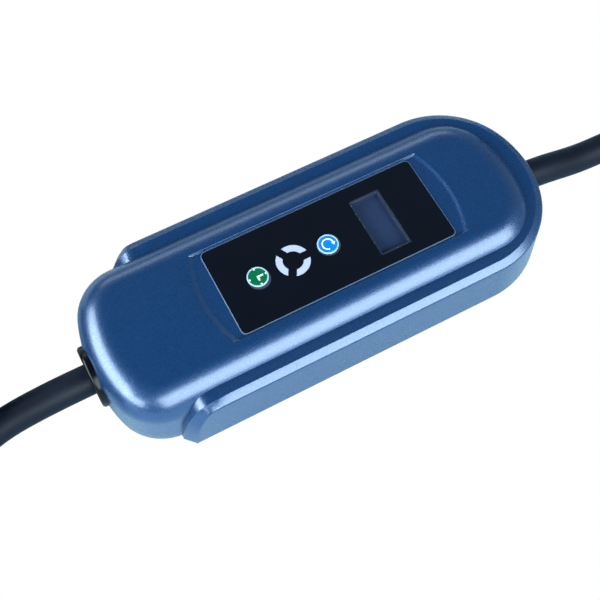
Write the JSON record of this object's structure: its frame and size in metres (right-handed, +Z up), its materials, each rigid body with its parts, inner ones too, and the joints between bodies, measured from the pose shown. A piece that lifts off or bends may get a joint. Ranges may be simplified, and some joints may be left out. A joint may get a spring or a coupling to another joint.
{
  "type": "electric vehicle charging cable with in-cable control box",
  "caption": "Portable vehicle charging cable: a satin blue control box with a glossy panel, a coiled charging cable with its connector and a short mains lead with an industrial plug.",
  "frame": {"origin": "centre of the control box's flat bottom", "axes": "+X along the box towards the mains lead, +Y across the box, +Z up through the panel"},
  "size_m": [0.7328, 0.234, 0.112],
  "materials": {
    "blue_metallic": "satin metallic",
    "dark_housing": "fine grained",
    "seal_rubber": "semi gloss",
    "panel_gloss": "gloss",
    "clear_window": "clear",
    "lcd_glass": "satin",
    "button_green": "gloss",
    "button_blue": "gloss",
    "light_guide": "diffusing",
    "circuit_board": "lacquered",
    "screw_steel": "zinc plated",
    "relay_black": "matte",
    "winding": "taped",
    "capacitor": "sleeved",
    "ceramic": "glazed",
    "terminal_block": "moulded",
    "core_brown": "extruded",
    "core_blue": "extruded",
    "cable_rubber": "satin sheath",
    "tie_fabric": "hook and loop",
    "connector_plastic": "fine grained",
    "contact_brass": "turned",
    "plug_blue": "moulded",
    "plug_black": "moulded",
    "pin_nickel": "nickel plated"
  },
  "bodies": {
    "root": {"upper_housing": "blue_metallic", "lower_housing": "dark_housing", "housing_seal": "seal_rubber", "front_panel": "panel_gloss", "display_window": "clear_window", "lcd_display": "lcd_glass", "status_light_guide": "light_guide", "status_leds": "light_guide", "tactile_switches": "screw_steel", "display_board": "circuit_board", "display_board_screws": "screw_steel", "main_board": "circuit_board", "board_screws": "screw_steel", "power_relays": "relay_black", "supply_transformer": "winding", "supply_capacitors": "capacitor", "mains_fuse": "ceramic", "mains_terminals": "terminal_block", "vehicle_terminals": "terminal_block", "mains_cores": "core_brown", "vehicle_cores": "core_blue", "leakage_sensor": "relay_black", "cord_clamps": "dark_housing", "clamp_screws": "screw_steel", "housing_screws": "screw_steel", "vehicle_grommet": "seal_rubber", "mains_grommet": "seal_rubber", "vehicle_cord": "cable_rubber", "vehicle_coil": "cable_rubber", "coil_ties": "tie_fabric", "connector_cord": "cable_rubber", "connector_boot": "seal_rubber", "connector_shell_left": "connector_plastic", "connector_shell_right": "connector_plastic", "connector_nose": "connector_plastic", "connector_contacts": "contact_brass", "connector_screws": "screw_steel", "mains_cord": "cable_rubber", "plug_gland_nut": "plug_black", "plug_body": "plug_black", "plug_shroud": "plug_blue", "plug_insert": "relay_black", "plug_pins": "pin_nickel"},
    "timer_button": {"timer_button": "button_green"},
    "reset_button": {"reset_button": "button_blue"}
  },
  "joints": [
    {"name": "timer_button_press", "type": "slide", "parent": "root", "child": "timer_button", "axis": [0, 0, 1], "range_m": [-0.0006, 0], "stiffness_N_per_m": 800, "springref_m": 0.0005},
    {"name": "reset_button_press", "type": "slide", "parent": "root", "child": "reset_button", "axis": [0, 0, 1], "range_m": [-0.0006, 0], "stiffness_N_per_m": 800, "springref_m": 0.0005}
  ]
}
